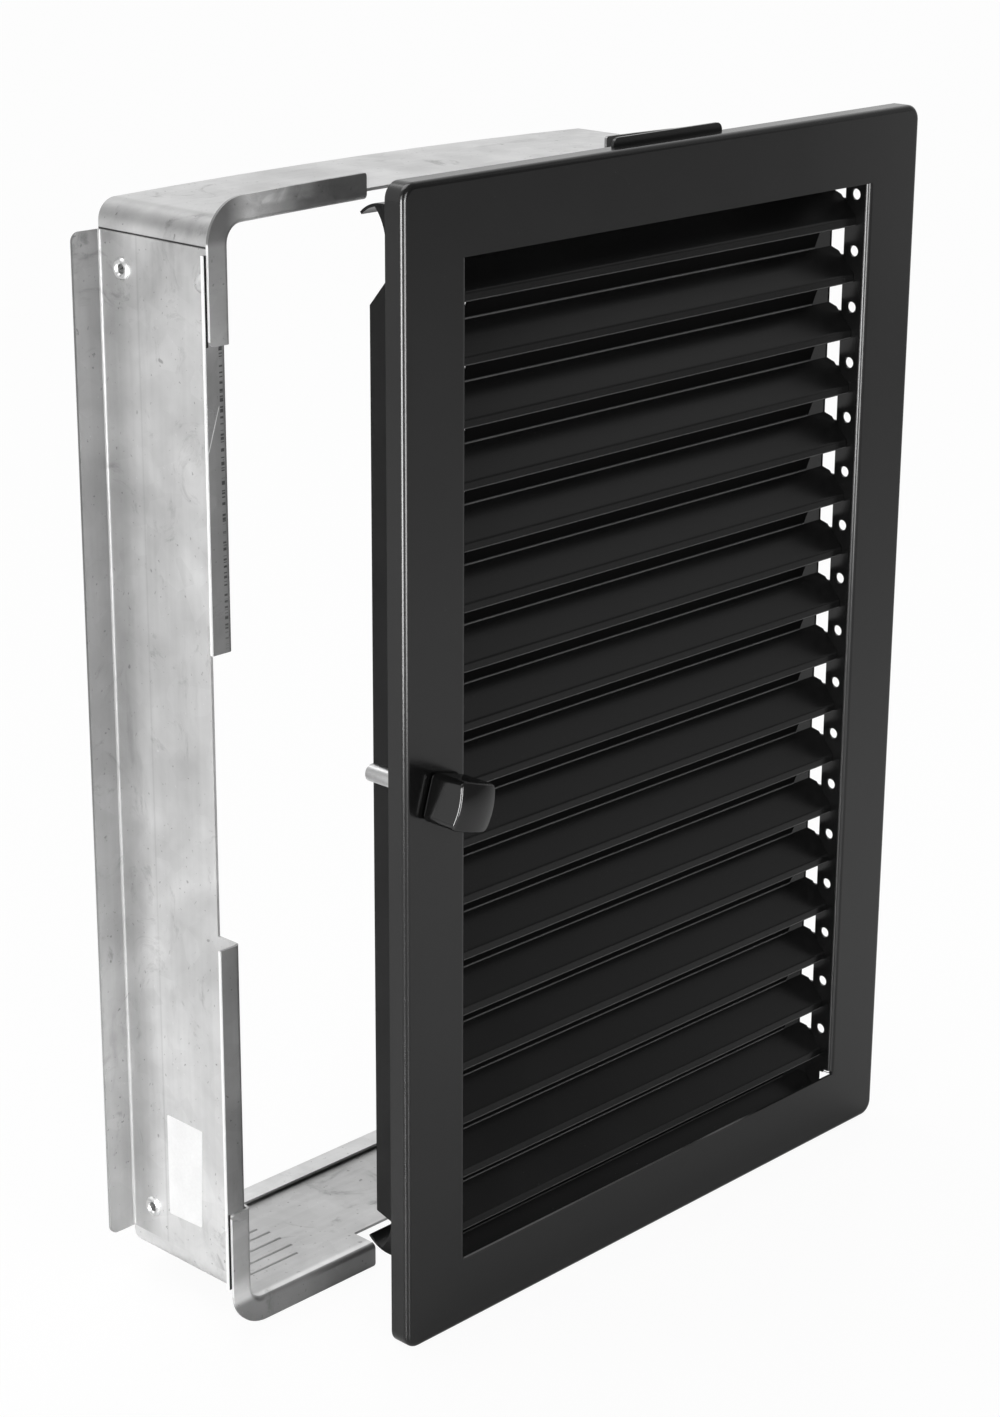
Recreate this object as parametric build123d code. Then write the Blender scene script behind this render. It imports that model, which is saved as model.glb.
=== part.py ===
import os
from math import hypot, sqrt
from build123d import *

# Hot air grille: a galvanised wall frame of four folded sheets, and a black louvred
# grille with a turn knob that has been taken out of it and stands in front.
# X runs to the right, Y into the wall, Z up. Sizes are in millimetres.

# Wall frame
frame_in_w = 229.0
frame_in_h = 368.7
frame_depth = 61.3
frame_sheet = 1.0
frame_bend = 0.8
jamb_bend = 1.0
frame_lip = 8.5
frame_corner = 6.0
head_rise = 1.7
sill_rise = 0.2
leg_length = 44.8
leg_corner = 2.0
lip_notch_w = 113.0
notch_depth = 11.2
notch_corner = 1.0
pocket_gap = 1.0
pocket_depth = 8.0
pocket_margin = 4.0

# Side channels of the wall frame
jamb_gap = 8.15
jamb_lip = 8.9
jamb_flange = 10.9
jamb_short = 0.5
jamb_notch = 101.0
jamb_notch_drop = 1.2
flange_corner = 3.0

# Rivets of the wall frame
rivet_down = 19.35
rivet_back = 12.4
rivet_rim_r = 3.6
rivet_shank_r = 2.4
rivet_bore_r = 1.6
rivet_rim_h = 1.2
rivet_foot_w = 0.7
rivet_foot_t = 0.5
tail_down = 17.35
tail_up = 25.0
tail_in = 6.4
tail_r = 3.3
tail_h = 5.4
tail_shank_r = 2.0

# Grille face
door_over_x = 13.5
door_over_z = 12.15
door_sheet = 1.0
door_bend = 1.0
door_return = 7.8
door_corner = 5.5
open_in_x = 14.0
open_in_z = 12.85
tab_w = 54.0
tab_rise = 2.8

# Side plates folded back from the opening
plate_depth = 42.2
plate_root = 3.5
plate_top_back = 18.0
plate_top_down = 20.7
plate_low_back = 11.2
plate_low_up = 3.0
hole_r = 1.95
hole_in = 0.5
hole_up = 10.95
window_in = 4.9
window_deep = 6.2
window_up = 9.1
window_tall = 10.9
window_edge = 1.5
relief_r = 0.7

# Slats
slat_pitch = 20.05
slat_top_down = 15.4
slat_low_up = 5.0
slat_sheet = 0.8
slat_bend = 0.6
slat_y0 = 5.5
slat_y1 = 14.0
slat_lip = 2.85
slat_rise = 12.25
slat_leg = 6.6
slat_lean = 2.4
leg_in = 12.0
slat_gap = 0.2
slat_corner = 2.5
slot_in = 1.4
slot_deep = 2.4
slot_out = 0.5

# Collars that enter the wall frame
collar_fit = 0.85
collar_leg = 10.5
collar_flat = 37.0
nose_r = 13.5
nose_turn = 43.5
ear_root = 6.0
ear_past = 3.0
ear_short = 2.0

# Knob, spindle and latch cam
knob_x = 16.3
knob_down = 0.8
knob_side = 16.2
knob_corner = 2.2
knob_edge = 0.9
knob_foot = 1.4
knob_dome = 24.0
knob_out = 17.0
knob_off_face = 0.6
knob_turn = 17.0
spindle_r = 2.95
spindle_fit = 0.05
spindle_tail = 16.5
spindle_in_knob = 9.0
cam_y0 = 13.5
cam_thick = 3.0
cam_hub_r = 4.4
cam_tip_r = 2.4
cam_reach = 6.4

# How the two stand to each other
grille_right = 37.5
grille_forward = 50.9

# Sizes that follow
jamb_length = frame_in_h - 2 * jamb_gap
rivet_z = frame_in_h / 2 - rivet_down
tail_high = frame_in_h / 2 - tail_down
tail_low = tail_up - frame_in_h / 2
door_w = frame_in_w + 2 * door_over_x
door_h = frame_in_h + 2 * door_over_z
open_w = frame_in_w - 2 * open_in_x
open_h = frame_in_h - 2 * open_in_z
open_low = (door_h - open_h) / 2
open_high = (door_h + open_h) / 2
slat_first = open_high - slat_top_down
slat_count = 1 + int((slat_first - open_low - slat_low_up) // slat_pitch)
slat_last = slat_first - slat_count * slat_pitch
collar_top = (door_h + frame_in_h) / 2 - collar_fit
collar_floor = door_h - collar_top + door_sheet
knob_z = door_h / 2 - knob_down
spindle_end = cam_y0 + cam_thick + spindle_tail

# Shared origin: middle of the footprint, on the floor
frame_half = frame_in_w / 2 + 2 * frame_sheet + jamb_flange
frame_x = -(grille_right + door_w / 2 - frame_half) / 2
door_x = frame_x + grille_right
door_y = -(grille_forward + frame_depth - knob_out) / 2
frame_y = door_y + grille_forward
sill_r = (frame_in_w**2 / 4 + sill_rise**2) / (2 * sill_rise) + frame_lip
sill_sag = sill_rise - sill_r + sqrt(sill_r**2 - lip_notch_w**2 / 4)
frame_z = frame_in_h / 2 + frame_lip + sill_sag


def fold(points, thick, bend):
    """Section of a folded sheet: points run along one face, the sheet lies on their left."""
    count = len(points)
    dirs = []
    for a, b in zip(points[:-1], points[1:]):
        run = hypot(b[0] - a[0], b[1] - a[1])
        dirs.append(((b[0] - a[0]) / run, (b[1] - a[1]) / run))
    other = []
    for i, p in enumerate(points):
        d0 = dirs[max(i - 1, 0)]
        d1 = dirs[min(i, count - 2)]
        n0 = (-d0[1], d0[0])
        n1 = (-d1[1], d1[0])
        scale = thick / (1 + n0[0] * n1[0] + n0[1] * n1[1])
        other.append((p[0] + scale * (n0[0] + n1[0]), p[1] + scale * (n0[1] + n1[1])))
    face = make_face(Polyline(*points, *reversed(other), close=True))
    for i in range(1, count - 1):
        turn = dirs[i - 1][0] * dirs[i][1] - dirs[i - 1][1] * dirs[i][0]
        inside, outside = (other[i], points[i]) if turn > 0 else (points[i], other[i])
        for spot, radius in ((inside, bend), (outside, bend + thick)):
            near = face.vertices().sort_by_distance(Vector(spot[0], spot[1], 0))[0]
            face = fillet([near], radius)
    return face


def along(edge, wire):
    return wire.distance_to(edge @ 0.5) < 0.02


def back(sketch, start, length):
    """Extrude an X-Z sketch towards the wall, from depth start."""
    return extrude(Plane.XZ * sketch, amount=length, dir=(0, 1, 0)).moved(Location((0, start, 0)))


def opening_outline(rise):
    half = frame_in_w / 2
    top = frame_in_h / 2
    sides = Polyline((half, top), (half, 0), (-half, 0), (-half, top))
    crown = ThreePointArc((-half, top), (0, top + rise), (half, top))
    face = make_face(sides + crown)
    corners = face.vertices().group_by(Axis.Y)[-1]
    return fillet(corners, frame_corner)


def rivet_hole(radius):
    return Cylinder(radius, 8 * frame_sheet)


def rail(rise):
    """Head of the wall frame; the sill is the same sheet the other way up."""
    inner = opening_outline(rise)
    outer = offset(inner, frame_sheet)
    rim = offset(inner, frame_lip)
    leg_end = frame_in_h / 2 + frame_lip - leg_length
    low = Pos(0, leg_end - frame_in_h / 2) * Rectangle(2 * frame_in_w, frame_in_h)
    body = back(outer - inner - low, 0, frame_depth) + back(rim - inner - low, 0, frame_sheet)
    front_wire = (Plane.XZ * inner).wires()[0]
    rear_wire = (Plane.XZ * outer).wires()[0].moved(Location((0, frame_sheet, 0)))
    front_edges = [e for e in body.edges().group_by(Axis.Y)[0] if along(e, front_wire)]
    body = fillet(front_edges, frame_bend + frame_sheet)
    rear_edges = [e for e in body.edges() if along(e, rear_wire)]
    body = fillet(rear_edges, frame_bend)
    # gap in the lip at mid span
    top = frame_in_h / 2
    body -= Pos(0, 0, top) * Box(lip_notch_w, 2 * notch_depth, 4 * frame_lip)
    ends = [e for e in body.edges().filter_by(Axis.Y) if abs(abs(e.center().X) - lip_notch_w / 2) < 0.01]
    body = fillet([e for e in ends if e.center().Z > top + frame_lip / 2], notch_corner)
    # open fold along the rear edge for the duct
    reach = frame_in_w - 2 * (frame_corner + pocket_margin)
    strip = Pos(0, top) * Rectangle(reach, 4 * (pocket_gap + frame_sheet + rise))
    leaf = (offset(inner, -pocket_gap) - offset(inner, -pocket_gap - frame_sheet)) & strip
    close = (inner - offset(inner, -pocket_gap - frame_sheet)) & strip
    body += back(leaf, frame_depth - pocket_depth, pocket_depth)
    body += back(close, frame_depth - frame_sheet, frame_sheet)
    # rounded free corners at the leg ends
    ends = body.edges().filter_by(Axis.Y).group_by(Axis.Z)[0]
    tips = [e for e in ends if abs(abs(e.center().X) - frame_in_w / 2 - frame_lip) < 0.1]
    body = fillet(tips, leg_corner)
    # holes for the rivets
    side = frame_in_w / 2
    for s in (-1, 1):
        body -= Pos(s * side, frame_depth - rivet_back, rivet_z) * Rot(0, 90, 0) * rivet_hole(rivet_shank_r)
    return body


def jamb():
    """Left side channel: lip and nailing flange both turned outwards."""
    inside = -(frame_in_w / 2 + frame_sheet)
    outside = inside - frame_sheet
    y0 = frame_sheet
    y1 = frame_depth - jamb_short
    path = [(inside - jamb_lip, y0), (inside, y0), (inside, y1), (outside - jamb_flange, y1)]
    body = extrude(fold(path, frame_sheet, jamb_bend), amount=jamb_length)
    body = Pos(0, 0, -jamb_length / 2) * body
    body -= Pos(inside, 0, -jamb_notch_drop) * Box(4 * jamb_lip, 2 * notch_depth, jamb_notch)
    corners = body.edges().filter_by(Axis.Y).group_by(Axis.X)[0]
    body = fillet(corners, flange_corner)
    for s in (-1, 1):
        body -= Pos(inside, frame_depth - rivet_back, s * rivet_z) * Rot(0, 90, 0) * rivet_hole(rivet_shank_r)
    for z in (tail_low, tail_high):
        body -= Pos(-(frame_in_w / 2 + tail_in), 0, z) * Rot(90, 0, 0) * rivet_hole(tail_shank_r)
    return body


def wall_rivet():
    """Hollow rivet along X: raised rim outside at negative X, thin flange inside."""
    stack = 2 * frame_sheet
    bulb = rivet_rim_h / 2
    profile = make_face(
        Polyline(
            (rivet_foot_t, rivet_bore_r),
            (rivet_foot_t, rivet_shank_r + rivet_foot_w),
            (0, rivet_shank_r + rivet_foot_w),
            (0, rivet_shank_r),
            (-stack, rivet_shank_r),
            (-stack, rivet_rim_r),
            (-stack - bulb, rivet_rim_r),
            (-stack - rivet_rim_h, rivet_rim_r - bulb),
            (-stack - rivet_rim_h, rivet_bore_r + bulb),
            (-stack - bulb, rivet_bore_r),
            close=True,
        )
    )
    return revolve(profile, Axis.X)


def lip_rivet():
    """Rivet along Y, seated behind the head's lip: its round tail stands behind the jamb's lip."""
    stack = 2 * frame_sheet
    side = stack + tail_h - tail_r
    shank = Pos(0, 1.5 * frame_sheet, 0) * Rot(90, 0, 0) * Cylinder(tail_shank_r, frame_sheet)
    drum = Pos(0, (stack + side) / 2, 0) * Rot(90, 0, 0) * Cylinder(tail_r, side - stack)
    half = Sphere(tail_r, arc_size1=0, align=(Align.CENTER, Align.CENTER, Align.MIN))
    dome = Pos(0, side, 0) * Rot(-90, 0, 0) * half
    return shank + drum + dome


def slat_section(z, leg):
    """Sloping blade with a short lip in front; a rear leg that leans forward blocks the view."""
    knee = z + slat_rise
    path = [(slat_y1, knee), (slat_y0, z + slat_lip), (slat_y0, z)]
    if leg:
        path.insert(0, (slat_y1 - slat_lean, knee + slat_leg))
    return fold(path, slat_sheet, slat_bend)


def slat_tab(z):
    middle = slat_y0 + slot_in + slot_deep / 2
    block = Pos(0, middle, z) * Box(2 * door_w, slot_deep, 4 * slat_rise)
    length = open_w + 2 * (door_sheet + slot_out)
    blade = extrude(Plane.YZ * slat_section(z, False), amount=length / 2, both=True)
    return blade & block


def slat(z):
    """Blade between the side plates; its leg stops short of both ends."""
    half = open_w / 2 - slat_gap
    blade = extrude(Plane.YZ * slat_section(z, False), amount=half, both=True)
    drop = slat_corner * (slat_y1 - slat_y0) / hypot(slat_y1 - slat_y0, slat_rise - slat_lip)
    for s in (-1, 1):
        corner = Polyline(
            (s * (half + 1), slat_y1 - drop),
            (s * half, slat_y1 - drop),
            (s * (half - slat_corner), slat_y1),
            (s * (half - slat_corner), slat_y1 + slat_corner),
            (s * (half + 1), slat_y1 + slat_corner),
            close=True,
        )
        blade -= Pos(0, 0, z) * extrude(make_face(corner), amount=2 * slat_rise)
    return blade + extrude(Plane.YZ * slat_section(z, True), amount=half - leg_in, both=True)


def end_slat():
    """Lowest blade, behind the border: its lip is cut away and it stands on the bottom collar."""
    below = Pos(0, 0, collar_floor - slat_rise) * Box(2 * door_w, 4 * slat_y1, 2 * slat_rise)
    return slat(slat_last) - below


def side_plate():
    """Left plate folded back from the edge of the opening, with its row of holes."""
    edge = -open_w / 2
    path = [(edge - plate_root, 0), (edge, 0), (edge, plate_depth)]
    plate = Pos(0, 0, open_low) * extrude(fold(path, door_sheet, door_bend), amount=open_h)
    top = Polyline(
        (plate_depth, open_high),
        (plate_depth, open_high - plate_top_down),
        (plate_depth - plate_top_back, open_high),
        close=True,
    )
    foot = Polyline(
        (plate_depth, open_low),
        (plate_depth, open_low + plate_low_up),
        (plate_depth - plate_low_back, open_low),
        close=True,
    )
    for shape in (top, foot):
        plate -= extrude(Plane.YZ * make_face(shape), amount=door_w, both=True)
    cuts = []
    for k in range(slat_count):
        z = slat_first - k * slat_pitch
        hole = Cylinder(hole_r, 12 * door_sheet)
        cuts.append(Pos(edge, slat_y0 + hole_in, z + hole_up) * Rot(0, 90, 0) * hole)
        floor = z + window_up
        height = min(window_tall, open_high - window_edge - floor)
        middle = Pos(edge, slat_y0 + window_in + window_deep / 2, floor + height / 2)
        cuts.append(middle * Box(12 * door_sheet, window_deep, height))
        cuts.append(slat_tab(z))
    return plate - cuts


def face_frame():
    """Face sheet of the grille: returned edges, side plates and the locating tab."""
    tray = back(RectangleRounded(door_w, door_h, door_corner), 0, door_return)
    tray = fillet(tray.edges().group_by(Axis.Y)[0], door_bend + door_sheet)
    tray = offset(tray, amount=-door_sheet, openings=tray.faces().sort_by(Axis.Y)[-1:])
    tray = Pos(0, 0, door_h / 2) * tray
    wide = open_w + 2 * plate_root
    tray -= Pos(0, 0, door_h / 2) * Box(wide, 6 * door_sheet, open_h)
    plate = side_plate()
    body = tray + plate + mirror(plate, about=Plane.YZ)
    tab_high = tab_rise + door_sheet
    tab = Pos(0, door_h - door_sheet + tab_high / 2) * Rectangle(tab_w, tab_high)
    tab = fillet(tab.vertices().group_by(Axis.Y)[-1], tab_rise - 0.2)
    body += back(tab, door_return - door_sheet, door_sheet)
    # reliefs at the lower ends of the folds
    for s in (-1, 1):
        spot = Pos(s * (open_w / 2 + 0.6 * relief_r), 0, open_low + 0.85 * relief_r) * Rot(90, 0, 0)
        body -= spot * Cylinder(relief_r, 8 * door_sheet)
    bore = Pos(knob_x - door_w / 2, 0, knob_z) * Rot(90, 0, 0)
    return body - bore * Cylinder(spindle_r + spindle_fit, 6)


def collar(ear_leg):
    """Angle behind the face; its rear edge is rolled inwards to lead into the frame."""
    path = [(collar_flat, collar_top), (door_sheet, collar_top), (door_sheet, collar_top - collar_leg)]
    angle = fold(path, door_sheet, door_bend)
    centre = (collar_flat, collar_top - nose_r)
    outer = CenterArc(centre, nose_r, 90, -nose_turn)
    inner = CenterArc(centre, nose_r - door_sheet, 90, -nose_turn)
    nose = make_face(outer + inner + Line(outer @ 0, inner @ 0) + Line(outer @ 1, inner @ 1))
    half = open_w / 2 + door_sheet
    body = extrude(Plane.YZ * (angle + nose), amount=half, both=True)
    low = collar_top - ear_leg
    under = collar_top - door_sheet / 2
    toe = (collar_flat - ear_short, low)
    tip = (collar_flat + ear_past, under - 0.4 * door_sheet)
    mid = (collar_flat - 0.2 * ear_short, (low + under) / 2)
    edge = Polyline(tip, (ear_root, under), (ear_root, low), toe)
    ear = extrude(Plane.YZ * make_face(edge + ThreePointArc(toe, mid, tip)), amount=door_sheet)
    return body + Pos(-half, 0, 0) * ear + Pos(half - door_sheet, 0, 0) * ear


def knob():
    block = Rot(0, 0, -knob_turn) * RectangleRounded(knob_side, knob_side, knob_corner)
    body = back(block, -knob_out, knob_out - knob_off_face)
    body &= Pos(0, knob_dome - knob_out, 0) * Sphere(knob_dome)
    body = fillet(body.faces().sort_by(Axis.Y)[0].edges(), knob_edge)
    body = fillet(body.faces().sort_by(Axis.Y)[-1].edges(), knob_foot)
    bore = Pos(0, -knob_off_face - spindle_in_knob / 2, 0) * Rot(90, 0, 0)
    return body - bore * Cylinder(spindle_r, spindle_in_knob)


def spindle():
    length = spindle_end + knob_off_face + spindle_in_knob
    rod = Pos(0, spindle_end - length / 2, 0) * Rot(90, 0, 0) * Cylinder(spindle_r, length)
    return chamfer(rod.edges().group_by(Axis.Y)[-1], 0.6)


def latch_cam():
    lobe = make_hull((Circle(cam_hub_r) + Pos(cam_reach, 0) * Circle(cam_tip_r)).edges())
    lobe = Rot(0, 0, -knob_turn) * lobe
    return back(lobe - Circle(spindle_r), cam_y0, cam_thick)


def save(shape, place, node):
    export_step(place * shape, "parts/" + node + ".step")


os.makedirs("parts", exist_ok=True)
wall = Pos(frame_x, frame_y, frame_z)
grille = Pos(door_x, door_y, 0)
latch = Pos(door_x - door_w / 2 + knob_x, door_y, knob_z)

left = jamb()
save(rail(head_rise), wall, "head")
save(mirror(rail(sill_rise), about=Plane.XY), wall, "sill")
save(left, wall, "left_jamb")
save(mirror(left, about=Plane.YZ), wall, "right_jamb")

hollow = []
tails = []
for sx in (-1, 1):
    for sz in (-1, 1):
        turn = Rot(0, 0, 0) if sx < 0 else Rot(0, 180, 0)
        spot = Pos(sx * frame_in_w / 2, frame_depth - rivet_back, sz * rivet_z)
        hollow.append(spot * turn * wall_rivet())
        tail_z = tail_low if sz < 0 else tail_high
        tails.append(Pos(sx * (frame_in_w / 2 + tail_in), 0, tail_z) * lip_rivet())
save(Compound(children=hollow), wall, "wall_rivets")
save(Compound(children=tails), wall, "lip_rivets")

save(face_frame(), grille, "face_frame")
save(collar(collar_leg), grille, "top_collar")
lower = collar(collar_top - open_high)
save(mirror(lower, about=Plane.XY.offset(door_h / 2)), grille, "bottom_collar")
for k in range(slat_count):
    z = slat_first - k * slat_pitch
    save(slat(z) + slat_tab(z), grille, f"slat_{k + 1:02d}")
save(end_slat(), grille, f"slat_{slat_count + 1:02d}")

save(knob(), latch, "knob")
save(spindle(), latch, "spindle")
save(latch_cam(), latch, "latch_cam")
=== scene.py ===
import math

import bmesh
import bpy
from mathutils import Matrix, Vector


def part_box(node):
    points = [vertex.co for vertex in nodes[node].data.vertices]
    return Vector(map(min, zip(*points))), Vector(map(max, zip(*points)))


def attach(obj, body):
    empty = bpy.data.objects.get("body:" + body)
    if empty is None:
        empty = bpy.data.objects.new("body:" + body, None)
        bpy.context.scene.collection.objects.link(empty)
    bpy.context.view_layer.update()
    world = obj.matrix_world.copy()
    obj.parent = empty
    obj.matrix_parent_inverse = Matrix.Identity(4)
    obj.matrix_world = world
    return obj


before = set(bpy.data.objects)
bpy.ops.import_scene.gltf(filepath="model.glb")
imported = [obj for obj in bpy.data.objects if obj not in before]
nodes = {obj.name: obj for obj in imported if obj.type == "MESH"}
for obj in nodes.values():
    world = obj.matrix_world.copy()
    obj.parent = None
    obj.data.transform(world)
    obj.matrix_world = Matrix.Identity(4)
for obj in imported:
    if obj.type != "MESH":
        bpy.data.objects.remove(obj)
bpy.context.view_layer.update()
scene = bpy.context.scene

# Places of the wall frame and the blades, in metres

head_low, head_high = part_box("head")
sill_low, sill_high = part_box("sill")
jamb_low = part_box("left_jamb")[0]
flange_reach = 0.003
wall_x = (head_low[0] + head_high[0]) / 2
wall_z = (head_low[2] + sill_high[2]) / 2
lip_y = head_low[1]
rail_edge = (head_high[0] - head_low[0]) / 2
jamb_edge = wall_x - jamb_low[0] - flange_reach
leg_start = (head_low[2] - sill_high[2]) / 2

slat_nodes = tuple(name for name in nodes if name.startswith("slat_"))
blade_steps = 16
blade_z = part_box("slat_17")[0][2]
blade_pitch = (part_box("slat_01")[0][2] - blade_z) / blade_steps
blade_lip = 0.0028
blade_knee = 0.0125
blade_edge = 0.0003


# Marks, painted shade and painted highlights on the wall frame: each is where it starts and where it is
# full, in metres

jamb_lip = (lip_y + 0.0022, lip_y + 0.0026)
lip_front = (lip_y + 0.0013, lip_y + 0.0016)
rear_bend = (lip_y + 0.043, lip_y + 0.056)
rear_seam = (lip_y + 0.0416, lip_y + 0.042)
flange_start = (lip_y + 0.0585, lip_y + 0.0595)
darker_upper_height = (0.06, 0.22)
tick_band = (0.1177, 0.1187)
tick_run = (0.252, 0.342)
scratch_foot = 0.3096
scratch_lean = 0.3275
scratch_line = (-0.14245, -0.14225)
scratch_run = (0.3085, 0.3215)

rail_lip = (lip_y + 0.0014, lip_y + 0.0019)
rail_inside = (lip_y + 0.003, lip_y + 0.005)
head_height = (0.30, 0.31)
corner_side = (0.106, 0.113)
corner_height = (0.3705, 0.3745)
door_reflection_side = (0.084, 0.1)
lighter_streak_side = (0.082, 0.1)
lighter_streak_height = (0.3815, 0.383)
leg_side = (0.115, 0.1152)
contact_shade_height = (0.3692, 0.3696)
shaded_low_lip_height = (0.009, 0.012)
shaded_side_lip_side = (0.111, 0.116)
shaded_side_lip_height = (0.012, 0.024)
sill_floor = (0.0096, 0.0105)

sticker_corners = ((0.0435, 0.0286), (0.0266, 0.0292), (0.0251, 0.0663), (0.0434, 0.0664))
sticker_side = jamb_low[0] + 0.0109
sticker_sunk = 0.00005
sticker_thick = 0.00012
sticker_corner = 0.0006

rib_start = sill_low[0] + 0.0145
rib_ends = ((0.0415, -0.0975), (0.0369, -0.0955), (0.0309, -0.0958), (0.0245, -0.0962), (0.0187, -0.099))
rib_middle_z = 0.00872
rib_width = 0.0024
rib_height = 0.0006
rib_round = 0.0002


# Node helpers

def start_material(name):
    material = bpy.data.materials.new(name)
    material.use_nodes = True
    tree = material.node_tree
    tree.nodes.clear()
    out = tree.nodes.new("ShaderNodeOutputMaterial")
    shader = tree.nodes.new("ShaderNodeBsdfPrincipled")
    tree.links.new(shader.outputs[0], out.inputs[0])
    return material, tree, shader


def link(tree, value, socket):
    if isinstance(value, bpy.types.NodeSocket):
        tree.links.new(value, socket)
    else:
        socket.default_value = value


def object_place(tree, scale=(1, 1, 1), shift=(0, 0, 0)):
    coord = tree.nodes.new("ShaderNodeTexCoord")
    mapping = tree.nodes.new("ShaderNodeMapping")
    mapping.inputs["Location"].default_value = shift
    mapping.inputs["Scale"].default_value = scale
    tree.links.new(coord.outputs["Object"], mapping.inputs["Vector"])
    return mapping.outputs[0]


def turned_place(tree, turn, cell):
    """Object coordinates turned first and then divided by a cell size, for slanting marks."""
    coord = tree.nodes.new("ShaderNodeTexCoord")
    mapping = tree.nodes.new("ShaderNodeMapping")
    mapping.vector_type = "TEXTURE"
    mapping.inputs["Rotation"].default_value = turn
    mapping.inputs["Scale"].default_value = cell
    tree.links.new(coord.outputs["Object"], mapping.inputs["Vector"])
    return mapping.outputs[0]


def axes_of(tree):
    coord = tree.nodes.new("ShaderNodeTexCoord")
    split = tree.nodes.new("ShaderNodeSeparateXYZ")
    tree.links.new(coord.outputs["Object"], split.inputs[0])
    return split.outputs[0], split.outputs[1], split.outputs[2]


def noise(tree, place, scale, detail=3.0, rough=0.5, twist=0.0):
    node = tree.nodes.new("ShaderNodeTexNoise")
    tree.links.new(place, node.inputs["Vector"])
    node.inputs["Scale"].default_value = scale
    node.inputs["Detail"].default_value = detail
    node.inputs["Roughness"].default_value = rough
    node.inputs["Distortion"].default_value = twist
    return node.outputs[0]


def spread(tree, value, low, high, to_low, to_high, smooth=False):
    node = tree.nodes.new("ShaderNodeMapRange")
    node.interpolation_type = "SMOOTHSTEP" if smooth else "LINEAR"
    link(tree, value, node.inputs["Value"])
    node.inputs["From Min"].default_value = low
    node.inputs["From Max"].default_value = high
    node.inputs["To Min"].default_value = to_low
    node.inputs["To Max"].default_value = to_high
    return node.outputs[0]


def sums(tree, kind, a, b):
    node = tree.nodes.new("ShaderNodeMath")
    node.operation = kind
    link(tree, a, node.inputs[0])
    link(tree, b, node.inputs[1])
    return node.outputs[0]


def single(tree, kind, value):
    return sums(tree, kind, value, 0.0)


def product(tree, *values):
    result = values[0]
    for value in values[1:]:
        result = sums(tree, "MULTIPLY", result, value)
    return result


def above(tree, value, low, high):
    return spread(tree, value, low, high, 0.0, 1.0, True)


def below(tree, value, low, high):
    return spread(tree, value, low, high, 1.0, 0.0, True)


def between(tree, value, low, high, soft):
    return product(tree, above(tree, value, low - soft, low), below(tree, value, high, high + soft))


def fade(tree, mask, factor):
    """One where the mask is nought, the factor where it is one."""
    return spread(tree, mask, 0.0, 1.0, 1.0, factor)


def mixed(tree, mask, a, b):
    node = tree.nodes.new("ShaderNodeMix")
    node.data_type = "FLOAT"
    link(tree, mask, node.inputs[0])
    link(tree, a, node.inputs[2])
    link(tree, b, node.inputs[3])
    return node.outputs[0]


def bump(tree, shader, height, strength, distance):
    node = tree.nodes.new("ShaderNodeBump")
    node.inputs["Strength"].default_value = strength
    node.inputs["Distance"].default_value = distance
    tree.links.new(height, node.inputs["Height"])
    tree.links.new(node.outputs[0], shader.inputs["Normal"])


# Marks, painted shade and painted highlights on the sheets of the wall frame

def distance_from(tree, value, middle):
    return single(tree, "ABSOLUTE", sums(tree, "SUBTRACT", value, middle))


def jamb_marks_and_painted_light(tree):
    """Darker rear bend and upper wall, painted shade in the gap under the rails' lips and on the fronts of
    the lip and rear flange, a dark rear seam line, tool ticks, one long scratch and a painted highlight on
    the lip's cut edge.
    """
    x, y, z = axes_of(tree)
    out = distance_from(tree, x, wall_x)
    lip = below(tree, y, *jamb_lip)
    rear = above(tree, y, *rear_bend)
    seam = between(tree, y, *rear_seam, 0.0004)
    # Painted shade: the front of the jamb's lip, where it shows in the gap beside the rails' legs, is made
    # nearly black.
    painted_gap_shade = product(
        tree,
        above(tree, out, rail_edge - 0.0001, rail_edge),
        below(tree, out, jamb_edge - 0.0005, jamb_edge - 0.00045),
        below(tree, y, *lip_front),
        above(tree, distance_from(tree, z, wall_z), leg_start - 0.00025, leg_start + 0.00005),
    )
    pecks = noise(tree, object_place(tree, (1, 1, 900)), 1, 2, 0.6)
    ticks = product(
        tree,
        lip,
        between(tree, out, *tick_band, 0.0003),
        above(tree, pecks, 0.5, 0.56),
        between(tree, z, *tick_run, 0.012),
    )
    flange = above(tree, y, *flange_start)
    upper = above(tree, z, *darker_upper_height)
    lean = product(tree, sums(tree, "SUBTRACT", z, scratch_foot), scratch_lean)
    scratch = product(
        tree,
        lip,
        between(tree, sums(tree, "SUBTRACT", x, lean), *scratch_line, 0.00012),
        between(tree, z, *scratch_run, 0.001),
    )
    # Painted shade on the front of the lip and on the rear flange; the rear, seam, ticks and upper wall are
    # plain darkening and marks.
    dark = product(
        tree,
        fade(tree, rear, 0.68),
        fade(tree, seam, 0.9),
        fade(tree, painted_gap_shade, 0.03),
        fade(tree, ticks, 0.3),
        fade(tree, lip, 0.47),
        fade(tree, upper, 0.82),
        fade(tree, flange, 0.9),
        fade(tree, product(tree, flange, upper), 0.58),
    )
    # Painted highlight: the outermost strip of the lip's front, by its cut edge, is made near-white.
    highlight_and_scratch = product(tree, lip, above(tree, out, jamb_edge - 0.00045, jamb_edge - 0.0004))
    return dark, sums(tree, "MAXIMUM", highlight_and_scratch, product(tree, scratch, 0.55))


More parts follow.
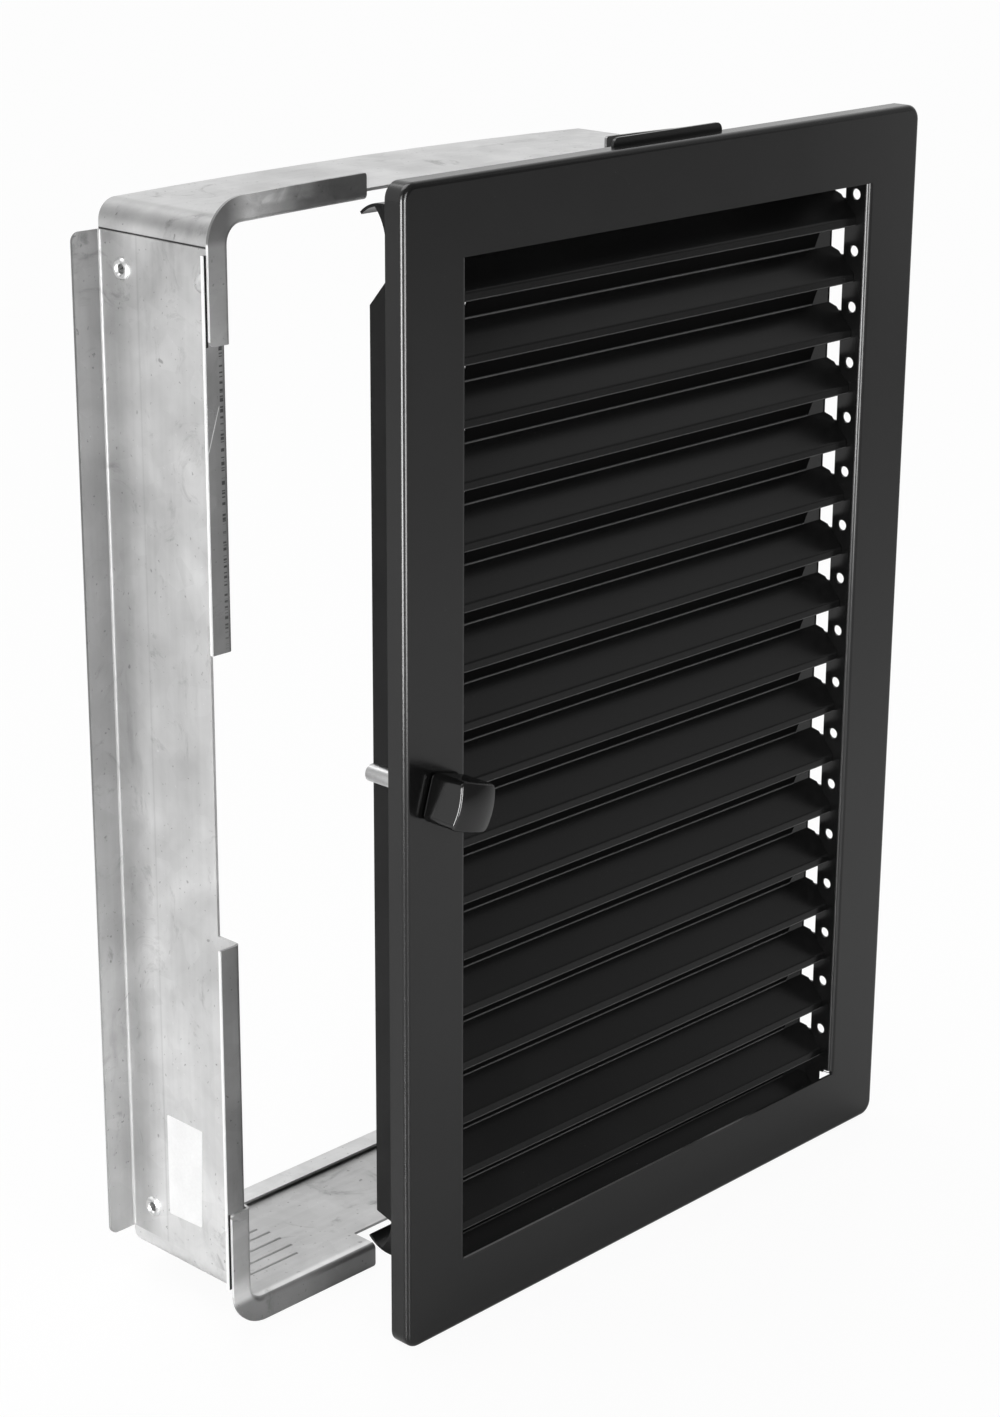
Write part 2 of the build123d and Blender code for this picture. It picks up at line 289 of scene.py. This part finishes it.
def rail_marks_and_painted_light(tree):
    """Darker rounded corners, a painted dark reflection of the door on the middle of the head's lip with a
    lighter streak along its top, painted contact shade at the seams by the jamb ends, painted shade on the
    fronts of the lips, a darker sill floor and a painted highlight on the lip's cut edge.
    """
    x, y, z = axes_of(tree)
    out = distance_from(tree, x, wall_x)
    lip = below(tree, y, *rail_lip)
    inner = above(tree, y, *rail_inside)
    head = above(tree, z, *head_height)
    corner = product(tree, above(tree, out, *corner_side), above(tree, z, *corner_height))
    lip_noise = noise(tree, object_place(tree), 90, 4, 0.6, 0.8)
    # Painted reflection: the middle of the head's lip is darkened where it mirrors the black door.
    painted_door_reflection = product(tree, lip, head, below(tree, out, *door_reflection_side), spread(tree, lip_noise, 0.3, 0.6, 0.75, 1.0))
    lighter_streak = product(
        tree,
        lip,
        head,
        between(tree, out, *lighter_streak_side, 0.006),
        above(tree, z, *lighter_streak_height),
        above(tree, lip_noise, 0.45, 0.62),
    )
    # Painted shade: a dark line inside the rails where the jambs' ends meet them, as contact shade.
    seam = product(tree, inner, above(tree, out, *leg_side), between(tree, z, *contact_shade_height, 0.0002))
    # Painted shade: the front of the sill's lip and the lips' ends by the jambs are darkened.
    shaded_low_lip = product(tree, lip, below(tree, z, *shaded_low_lip_height))
    shaded_side_lip = product(tree, lip, above(tree, out, *shaded_side_lip_side), above(tree, z, *shaded_side_lip_height))
    floor = product(tree, inner, below(tree, z, *sill_floor))
    dark = product(
        tree,
        fade(tree, head, 0.86),
        fade(tree, corner, 0.58),
        fade(tree, painted_door_reflection, 0.5),
        fade(tree, lighter_streak, 1.5),
        fade(tree, seam, 0.1),
        fade(tree, shaded_low_lip, 0.38),
        fade(tree, floor, 0.74),
        fade(tree, shaded_side_lip, 0.6),
    )
    # Painted highlight: the outermost strip of the lip's front, by its cut edge, is made near-white.
    highlight_and_scratch = product(tree, lip, above(tree, out, rail_edge - 0.00008, rail_edge - 0.00003))
    return dark, highlight_and_scratch


# Finishes

def blade_phase(tree):
    """Height above the lip of the nearest blade below."""
    z = axes_of(tree)[2]
    turns = sums(tree, "DIVIDE", sums(tree, "SUBTRACT", z, blade_z), blade_pitch)
    return product(tree, single(tree, "FRACT", turns), blade_pitch)


def along(rolling, lengthwise, across):
    """Scale of a pattern that is drawn out along the direction of rolling."""
    return tuple(lengthwise if axis == rolling else across for axis in "XYZ")


def galvanised_sheet(name, rolling, marks):
    """Zinc coated sheet: cloudy spangle, rolling streaks, stains, specks, scratches, and cut edges painted
    near-white as a highlight.
    """
    material, tree, shader = start_material(name)
    plain = object_place(tree)
    clouds = noise(tree, plain, 14, 5, 0.6, 0.8)
    patches = noise(tree, object_place(tree, shift=(0.4, 0.2, 0.9)), 58, 3, 0.5, 0.5)
    cells = tree.nodes.new("ShaderNodeTexVoronoi")
    cells.inputs["Scale"].default_value = 120
    tree.links.new(plain, cells.inputs["Vector"])
    grain = tree.nodes.new("ShaderNodeSeparateColor")
    tree.links.new(cells.outputs["Color"], grain.inputs[0])
    streaks = noise(tree, object_place(tree, along(rolling, 12, 460)), 1, 2, 0.5)
    stain = noise(tree, object_place(tree, shift=(0.7, 0.3, 0.1)), 40, 8, 0.66, 1.6)
    smear = noise(tree, object_place(tree, along(rolling, 20, 75), (0.2, 0.5, 0.3)), 1, 5, 0.62)
    specks = noise(tree, plain, 560, 2, 0.5)
    pits = noise(tree, object_place(tree, shift=(0.15, 0.6, 0.35)), 230, 1, 0.5)
    nicks = noise(tree, turned_place(tree, (0.5, 0.3, 0.2), (0.0011, 0.0011, 0.03)), 1, 1, 0.5)
    rubs = noise(tree, turned_place(tree, (-0.7, -0.4, 0.3), (0.0009, 0.0009, 0.022)), 1, 1, 0.5)
    # The marks give darkening that is partly real marks and partly painted shade, and painted edge
    # highlights with the jambs' scratch.
    dark, highlight_and_scratch = marks(tree)
    tone = product(
        tree,
        spread(tree, clouds, 0.3, 0.7, 0.6, 0.76),
        spread(tree, patches, 0.3, 0.7, 0.93, 1.07),
        spread(tree, grain.outputs[0], 0, 1, 0.965, 1.03),
        spread(tree, streaks, 0.3, 0.7, 0.97, 1.025),
        spread(tree, stain, 0.57, 0.72, 1.0, 0.66, True),
        spread(tree, smear, 0.58, 0.75, 1.0, 0.82, True),
        spread(tree, specks, 0.69, 0.75, 1.0, 0.6, True),
        spread(tree, pits, 0.78, 0.82, 1.0, 0.6, True),
        spread(tree, nicks, 0.76, 0.8, 1.0, 0.68, True),
        spread(tree, rubs, 0.76, 0.8, 1.0, 1.16, True),
        dark,
    )
    # Painted highlight: where the marks give it, the base colour goes near-white and non-metal.
    tree.links.new(mixed(tree, highlight_and_scratch, tone, 0.97), shader.inputs["Base Color"])
    tree.links.new(spread(tree, highlight_and_scratch, 0.0, 1.0, 0.9, 0.1), shader.inputs["Metallic"])
    soiled = spread(tree, stain, 0.57, 0.72, 0.0, 0.14, True)
    dull = sums(tree, "ADD", spread(tree, clouds, 0.3, 0.7, 0.42, 0.52), soiled)
    tree.links.new(dull, shader.inputs["Roughness"])
    height = sums(tree, "ADD", product(tree, streaks, 0.4), product(tree, specks, 0.3))
    height = sums(tree, "ADD", height, product(tree, patches, 1.2))
    bump(tree, shader, height, 0.12, 0.0005)
    return material


def stoved_black(name, tone, dull, gloss=0.5, blades=False):
    """Black stoved paint with a soft gloss, a faint orange peel and a little dust.

    Blades have painted shade on their rear legs, which are also rougher and less glossy, and painted
    highlights along their lips and folds.
    """
    material, tree, shader = start_material(name)
    plain = object_place(tree)
    peel = noise(tree, plain, 800, 2, 0.5)
    drift = noise(tree, plain, 22, 3, 0.5)
    dust = noise(tree, plain, 1500, 1, 0.5)
    colour = sums(
        tree,
        "ADD",
        spread(tree, drift, 0.3, 0.7, 0.85 * tone, 1.15 * tone),
        spread(tree, dust, 0.77, 0.82, 0.0, 0.03, True),
    )
    sheen = spread(tree, drift, 0.3, 0.7, dull - 0.02, dull + 0.03)
    shader.inputs["Specular IOR Level"].default_value = gloss
    if blades:
        phase = blade_phase(tree)
        # Painted shade: the rear legs are darkened and lose their gloss.
        shaded_leg = above(tree, phase, blade_knee + 0.0003, blade_knee + 0.0006)
        # Painted highlights: light lines along the lips' lower edges and along the folds.
        lip_edge_highlight = below(tree, phase, blade_edge, blade_edge + 0.0001)
        fold_highlight = between(tree, phase, blade_knee - 0.0002, blade_knee + 0.0002, 0.0001)
        painted_highlights = sums(tree, "ADD", product(tree, lip_edge_highlight, 0.055), product(tree, fold_highlight, 0.07))
        colour = sums(tree, "ADD", product(tree, colour, fade(tree, shaded_leg, 0.3)), painted_highlights)
        sheen = mixed(tree, shaded_leg, sheen, 0.6)
        front = fade(tree, below(tree, phase, blade_lip - 0.0006, blade_lip), 0.62)
        shine = product(tree, spread(tree, shaded_leg, 0.0, 1.0, gloss, 0.03), front)
        tree.links.new(shine, shader.inputs["Specular IOR Level"])
    tree.links.new(colour, shader.inputs["Base Color"])
    tree.links.new(sheen, shader.inputs["Roughness"])
    bump(tree, shader, peel, 0.03, 0.0002)
    return material


def plated_steel(name, tone, dull):
    """Zinc plated steel with fine handling marks."""
    material, tree, shader = start_material(name)
    plain = object_place(tree)
    marks = noise(tree, plain, 320, 4, 0.6)
    tree.links.new(spread(tree, marks, 0.3, 0.75, 1.08 * tone, 0.8 * tone), shader.inputs["Base Color"])
    shader.inputs["Metallic"].default_value = 1.0
    tree.links.new(spread(tree, marks, 0.3, 0.7, dull - 0.06, dull + 0.08), shader.inputs["Roughness"])
    bump(tree, shader, marks, 0.03, 0.0002)
    return material


def sticker_paper(name):
    """White paper with a fine fibre and a little soil."""
    material, tree, shader = start_material(name)
    plain = object_place(tree)
    fibre = noise(tree, plain, 900, 3, 0.6)
    soil = noise(tree, plain, 90, 3, 0.5)
    tone = product(
        tree,
        spread(tree, fibre, 0.3, 0.7, 0.92, 0.96),
        spread(tree, soil, 0.35, 0.75, 1.0, 0.93),
    )
    tree.links.new(tone, shader.inputs["Base Color"])
    shader.inputs["Roughness"].default_value = 0.6
    bump(tree, shader, fibre, 0.05, 0.0001)
    return material


def dress(names, material):
    for name in names:
        node = nodes[name]
        node.data.materials.clear()
        node.data.materials.append(material)


upright = galvanised_sheet("galvanised_upright", "Z", jamb_marks_and_painted_light)
level = galvanised_sheet("galvanised_level", "X", rail_marks_and_painted_light)
black = stoved_black("stoved_black", 0.005, 0.22)
steel = plated_steel("plated_steel", 0.62, 0.32)
dress(("left_jamb", "right_jamb"), upright)
dress(("head", "sill"), level)
dress(("wall_rivets", "lip_rivets"), plated_steel("rivet_steel", 0.74, 0.3))
dress(("face_frame", "top_collar", "bottom_collar"), black)
dress(slat_nodes, stoved_black("blade_black", 0.005, 0.24, 0.35, True))
dress(("knob",), stoved_black("knob_black", 0.006, 0.18))
dress(("spindle", "latch_cam"), steel)


# Small pieces of the wall frame

def add_piece(name, mesh, material):
    data = bpy.data.meshes.new(name)
    mesh.to_mesh(data)
    mesh.free()
    piece = bpy.data.objects.new(name, data)
    scene.collection.objects.link(piece)
    data.materials.append(material)
    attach(piece, "wall_frame")


def sticker():
    """Bare paper sticker on the outside of the left jamb."""
    mesh = bmesh.new()
    ring = [mesh.verts.new((sticker_side - sticker_sunk, y, z)) for y, z in sticker_corners]
    mesh.faces.new(ring)
    bmesh.ops.bevel(
        mesh, geom=list(mesh.verts), offset=sticker_corner, offset_type="OFFSET", affect="VERTICES",
        segments=3, profile=0.5, material=-1,
    )
    skin = bmesh.ops.extrude_face_region(mesh, geom=list(mesh.faces))
    moved = [item for item in skin["geom"] if isinstance(item, bmesh.types.BMVert)]
    bmesh.ops.translate(mesh, verts=moved, vec=(-sticker_thick, 0, 0))
    bmesh.ops.recalc_face_normals(mesh, faces=list(mesh.faces))
    add_piece("sticker", mesh, sticker_paper("sticker_paper"))


def pressed_ribs():
    """Five low ribs pressed into the sill beside its left corner."""
    mesh = bmesh.new()
    for y, end in rib_ends:
        middle = Matrix.Translation(((rib_start + end) / 2, y, rib_middle_z))
        size = Matrix.Diagonal((end - rib_start, rib_width, rib_height, 1))
        rib = bmesh.ops.create_cube(mesh, size=1.0, matrix=middle @ size)["verts"]
        top = [corner for corner in rib if corner.co.z > rib_middle_z]
        home = Matrix.Translation((-(rib_start + end) / 2, -y, 0))
        bmesh.ops.scale(mesh, verts=top, vec=(0.94, 0.25, 1), space=home)
    bmesh.ops.bevel(
        mesh, geom=list(mesh.edges), offset=rib_round, offset_type="OFFSET", affect="EDGES",
        segments=3, profile=0.5, material=-1,
    )
    bmesh.ops.recalc_face_normals(mesh, faces=list(mesh.faces))
    add_piece("pressed_ribs", mesh, level)


sticker()
pressed_ribs()


# Floor, light and camera

def pale_floor():
    """Pale floor just under the object, nearly white to the camera, with the object's shadow."""
    mesh = bmesh.new()
    bmesh.ops.create_grid(mesh, x_segments=1, y_segments=1, size=5.0)
    bmesh.ops.translate(mesh, verts=list(mesh.verts), vec=(0, 0, -0.0002))
    data = bpy.data.meshes.new("floor")
    mesh.to_mesh(data)
    mesh.free()
    floor = bpy.data.objects.new("floor", data)
    scene.collection.objects.link(floor)
    material, tree, shader = start_material("floor_white")
    shader.inputs["Base Color"].default_value = (0.74, 0.74, 0.74, 1)
    shader.inputs["Roughness"].default_value = 0.2
    out = tree.nodes["Material Output"]
    mix = tree.nodes.new("ShaderNodeMixShader")
    glow = tree.nodes.new("ShaderNodeEmission")
    glow.inputs["Color"].default_value = (1, 1, 1, 1)
    glow.inputs["Strength"].default_value = 1.0
    path = tree.nodes.new("ShaderNodeLightPath")
    seen = sums(tree, "MAXIMUM", path.outputs["Is Camera Ray"], path.outputs["Is Transmission Ray"])
    mirrored = product(tree, path.outputs["Is Glossy Ray"], 0.05)
    share = sums(tree, "MAXIMUM", product(tree, seen, 0.95), mirrored)
    tree.links.new(share, mix.inputs[0])
    tree.links.new(shader.outputs[0], mix.inputs[1])
    tree.links.new(glow.outputs[0], mix.inputs[2])
    tree.links.new(mix.outputs[0], out.inputs[0])
    data.materials.append(material)


def studio_world():
    """Room that is dim in front and pale behind, and white to the camera."""
    world = bpy.data.worlds.new("studio")
    scene.world = world
    world.use_nodes = True
    tree = world.node_tree
    tree.nodes.clear()
    out = tree.nodes.new("ShaderNodeOutputWorld")
    back = tree.nodes.new("ShaderNodeBackground")
    coord = tree.nodes.new("ShaderNodeTexCoord")
    split = tree.nodes.new("ShaderNodeSeparateXYZ")
    tree.links.new(coord.outputs["Generated"], split.inputs[0])
    sweep = spread(tree, split.outputs[1], -0.35, 0.45, 0.16, 0.88, True)
    overhead = spread(tree, split.outputs[2], 0.3, 0.8, 0.0, 0.28, True)
    path = tree.nodes.new("ShaderNodeLightPath")
    room = sums(tree, "MAXIMUM", sweep, overhead)
    white = sums(tree, "MAXIMUM", room, path.outputs["Is Camera Ray"])
    tree.links.new(white, back.inputs["Color"])
    back.inputs["Strength"].default_value = 1.0
    tree.links.new(back.outputs[0], out.inputs[0])


def softbox(name, place, aim, width, height, power):
    """Soft rectangular lamp that faces a point and stays out of the picture."""
    data = bpy.data.lights.new(name, "AREA")
    data.shape = "RECTANGLE"
    data.size = width
    data.size_y = height
    data.energy = power
    lamp = bpy.data.objects.new(name, data)
    scene.collection.objects.link(lamp)
    back = (Vector(place) - Vector(aim)).normalized()
    lamp.matrix_world = Matrix.Translation(place) @ back.to_track_quat("Z", "Y").to_matrix().to_4x4()
    lamp.visible_camera = False
    return lamp


def photo_camera():
    """Camera at the angle and distance of the photograph."""
    azimuth = math.radians(-46.277)
    elevation = math.radians(18.773)
    roll = math.radians(0.3495)
    right = Vector((math.cos(azimuth), math.sin(azimuth), 0))
    level_back = Vector((math.sin(azimuth), -math.cos(azimuth), 0))
    back = math.cos(elevation) * level_back + math.sin(elevation) * Vector((0, 0, 1))
    up = back.cross(right)
    across = math.cos(roll) * right + math.sin(roll) * up
    upward = math.cos(roll) * up - math.sin(roll) * right
    turn = Matrix((across, upward, back)).transposed().to_4x4()
    data = bpy.data.cameras.new("camera")
    data.sensor_fit = "VERTICAL"
    data.sensor_height = 36.0
    data.lens = 77.79
    data.clip_start = 0.01
    camera = bpy.data.objects.new("camera", data)
    camera.matrix_world = Matrix.Translation((-0.74456, -0.69601, 0.53788)) @ turn
    scene.collection.objects.link(camera)
    scene.camera = camera


scene.view_settings.view_transform = "Standard"
pale_floor()
studio_world()
middle = (0, 0, 0.2)
softbox("softbox_left", (-1.7, -0.35, 0.75), middle, 0.6, 0.9, 10)
softbox("softbox_front", (-0.5, -1.8, 0.75), middle, 0.6, 0.9, 12)
softbox("softbox_top", (-0.2, 0.5, 1.8), middle, 1.2, 1.2, 15)
softbox("softbox_right", (0.51, -0.125, 0.45), (0, -0.04, 0.08), 0.5, 0.6, 0.26)
strips = (("strip_front", (-0.2164, -0.4847, 0.25), 2.4), ("strip_left", (-0.549, -0.1427, 0.25), 4.0))
for name, place, power in strips:
    strip = softbox(name, place, (-0.11, -0.05, 0.25), 0.17, 0.34, power)
    strip.visible_diffuse = False
photo_camera()
